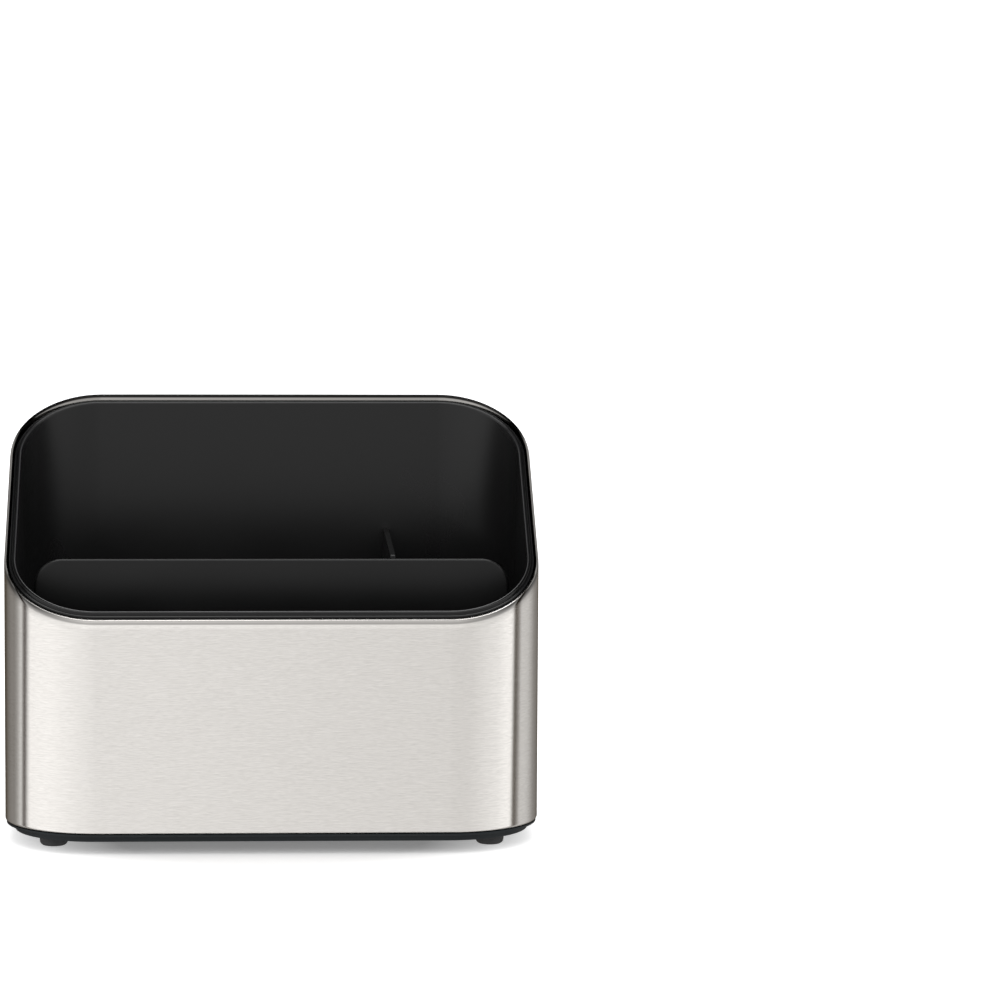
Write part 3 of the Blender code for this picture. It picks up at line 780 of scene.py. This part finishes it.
# %% [markdown]
# ## The room
# Steel shows what stands round it, so the room draws its look: pale walls, two bright
# panels at the sides with dark gaps beside them, which make the upright bands at the
# corners, and a ceiling that the lip mirrors. All that could be built from panels. A
# world shader does it with three tables of tones, one round the walls, one over the top
# and one that dims the ceiling to the sides. Only shiny surfaces see this room: the
# camera sees plain white, and everything else gets even light.

# %% Tones of the room
# Degrees round from the camera's side, left negative, and the tone of the walls there
WALL_TONES = (
    (-180, 0.90), (-174, 0.85), (-170, 0.06), (-154, 0.07), (-148, 0.17), (-131, 0.27),
    (-125, 0.24), (-117, 0.42), (-111, 0.76), (-107.5, 0.94), (-105.0, 0.12),
    (-103.2, 0.0), (-99.5, 0.0), (-97.9, 0.60), (-94.5, 1.10), (-92, 1.36), (-87, 1.24),
    (-60, 1.21), (-1.3, 1.01), (2.5, 0.85), (28, 0.84), (66, 1.03), (82, 1.25),
    (89, 1.44), (91.6, 0.10), (95.5, 0.02), (101, 0.26), (105, 0.74), (122, 0.68),
    (140, 0.30), (168, 0.08), (180, 0.90),
)
# What is added to the red, green and blue of a black wall
WALL_WARMTH = (0.022, 0.005, -0.014)
# Degrees over the top, from the wall behind the camera to the one behind the caddy
CEILING_TONES = (
    (0, 0.80), (12, 0.55), (30, 0.45), (40, 0.45), (50, 1.40), (98, 1.40), (102, 0.06),
    (129, 0.05), (131, 2.40), (150, 2.40), (168, 0.85), (180, 0.85),
)
# Degrees to either side, and how much of the ceiling's tone is left there
SIDE_TONES = (
    (0, 1.0), (84, 1.0), (91, 0.15), (106, 0.10), (140, 0.40), (158, 0.45), (168, 1.0),
    (180, 1.0),
)
# Degrees above the horizon where the ceiling starts, and hides the walls
CEILING_START = 18
CEILING_FULL = 40
print("brightest wall and ceiling:", max(tone for _, tone in WALL_TONES),
      max(tone for _, tone in CEILING_TONES))

# %% What a shiny surface sees
world = bpy.data.worlds.new("studio")
bpy.context.scene.world = world
world.use_nodes = True
world.node_tree.nodes.clear()
room = Wiring(world.node_tree)

direction = room.axes(room.add("ShaderNodeTexCoord").outputs["Generated"])
nearer = room.math("MULTIPLY", direction["Y"], -1.0)
bearing = room.math("DEGREES", room.math("ARCTAN2", direction["X"], nearer))
over_top = room.math("DEGREES", room.math("ARCTAN2", direction["Z"], nearer))
height = room.math("DEGREES", room.math("ARCSINE", direction["Z"]))

walls = room.steps(bearing, WALL_TONES, WALL_WARMTH)
ceiling = room.steps(over_top, CEILING_TONES)
dimming = room.steps(room.math("ABSOLUTE", bearing), SIDE_TONES)
dimmed = room.mix("RGBA", 1.0, ceiling, dimming, way="MULTIPLY")
overhead = room.ramp(height, CEILING_START, CEILING_FULL, curve="SMOOTHSTEP")
surround = room.mix("RGBA", overhead, walls, dimmed)
print("the room is drawn by", len(world.node_tree.nodes), "nodes")

# %% Plain white for the camera, even light for matt surfaces
FULL_LIGHT = 1.0
EVEN_LIGHT = 0.85


def light(colour, strength):
    """A background that shines in this colour."""
    node = room.add("ShaderNodeBackground", Color=colour, Strength=strength)
    return node.outputs["Background"]


def either(share, first, second):
    """The second light where share is 1, else the first."""
    node = room.add("ShaderNodeMixShader", placed={0: share, 1: first, 2: second})
    return node.outputs["Shader"]


off_surfaces = either(seen_by(room, "Glossy", "Transmission"),
                      light(WHITE, EVEN_LIGHT), light(surround, FULL_LIGHT))
seen = either(seen_by(room, "Camera"), off_surfaces, light(WHITE, FULL_LIGHT))
room.add("ShaderNodeOutputWorld", Surface=seen)
print("even light for matt surfaces:", EVEN_LIGHT)

# %% [markdown]
# ## The lamp
# The shadow under the caddy is faint, with wide soft edges. A sun or a small lamp would
# draw a hard one, and the even light of the room hardly any. One wide lamp overhead, at
# low power, gives it just enough of a shape.

# %% One wide lamp overhead
LAMP_SIZE = (1.2, 0.4)
LAMP_HEIGHT = 1.3
LAMP_WATTS = 5

lamp_data = bpy.data.lights.new("overhead_panel", "AREA")
lamp_data.shape = "RECTANGLE"
lamp_data.size, lamp_data.size_y = LAMP_SIZE
lamp_data.energy = LAMP_WATTS
lamp = bpy.data.objects.new("overhead_panel", lamp_data)
bpy.context.scene.collection.objects.link(lamp)
lamp.location = (0, 0, LAMP_HEIGHT)
print("lamp power in watts:", lamp_data.energy)

# %% [markdown]
# ## Colours as they are written
# Blender's usual view transform softens bright colours, which would dull a white floor.
# The Standard one shows each colour as it is written.

bpy.context.scene.view_settings.view_transform = "Standard"
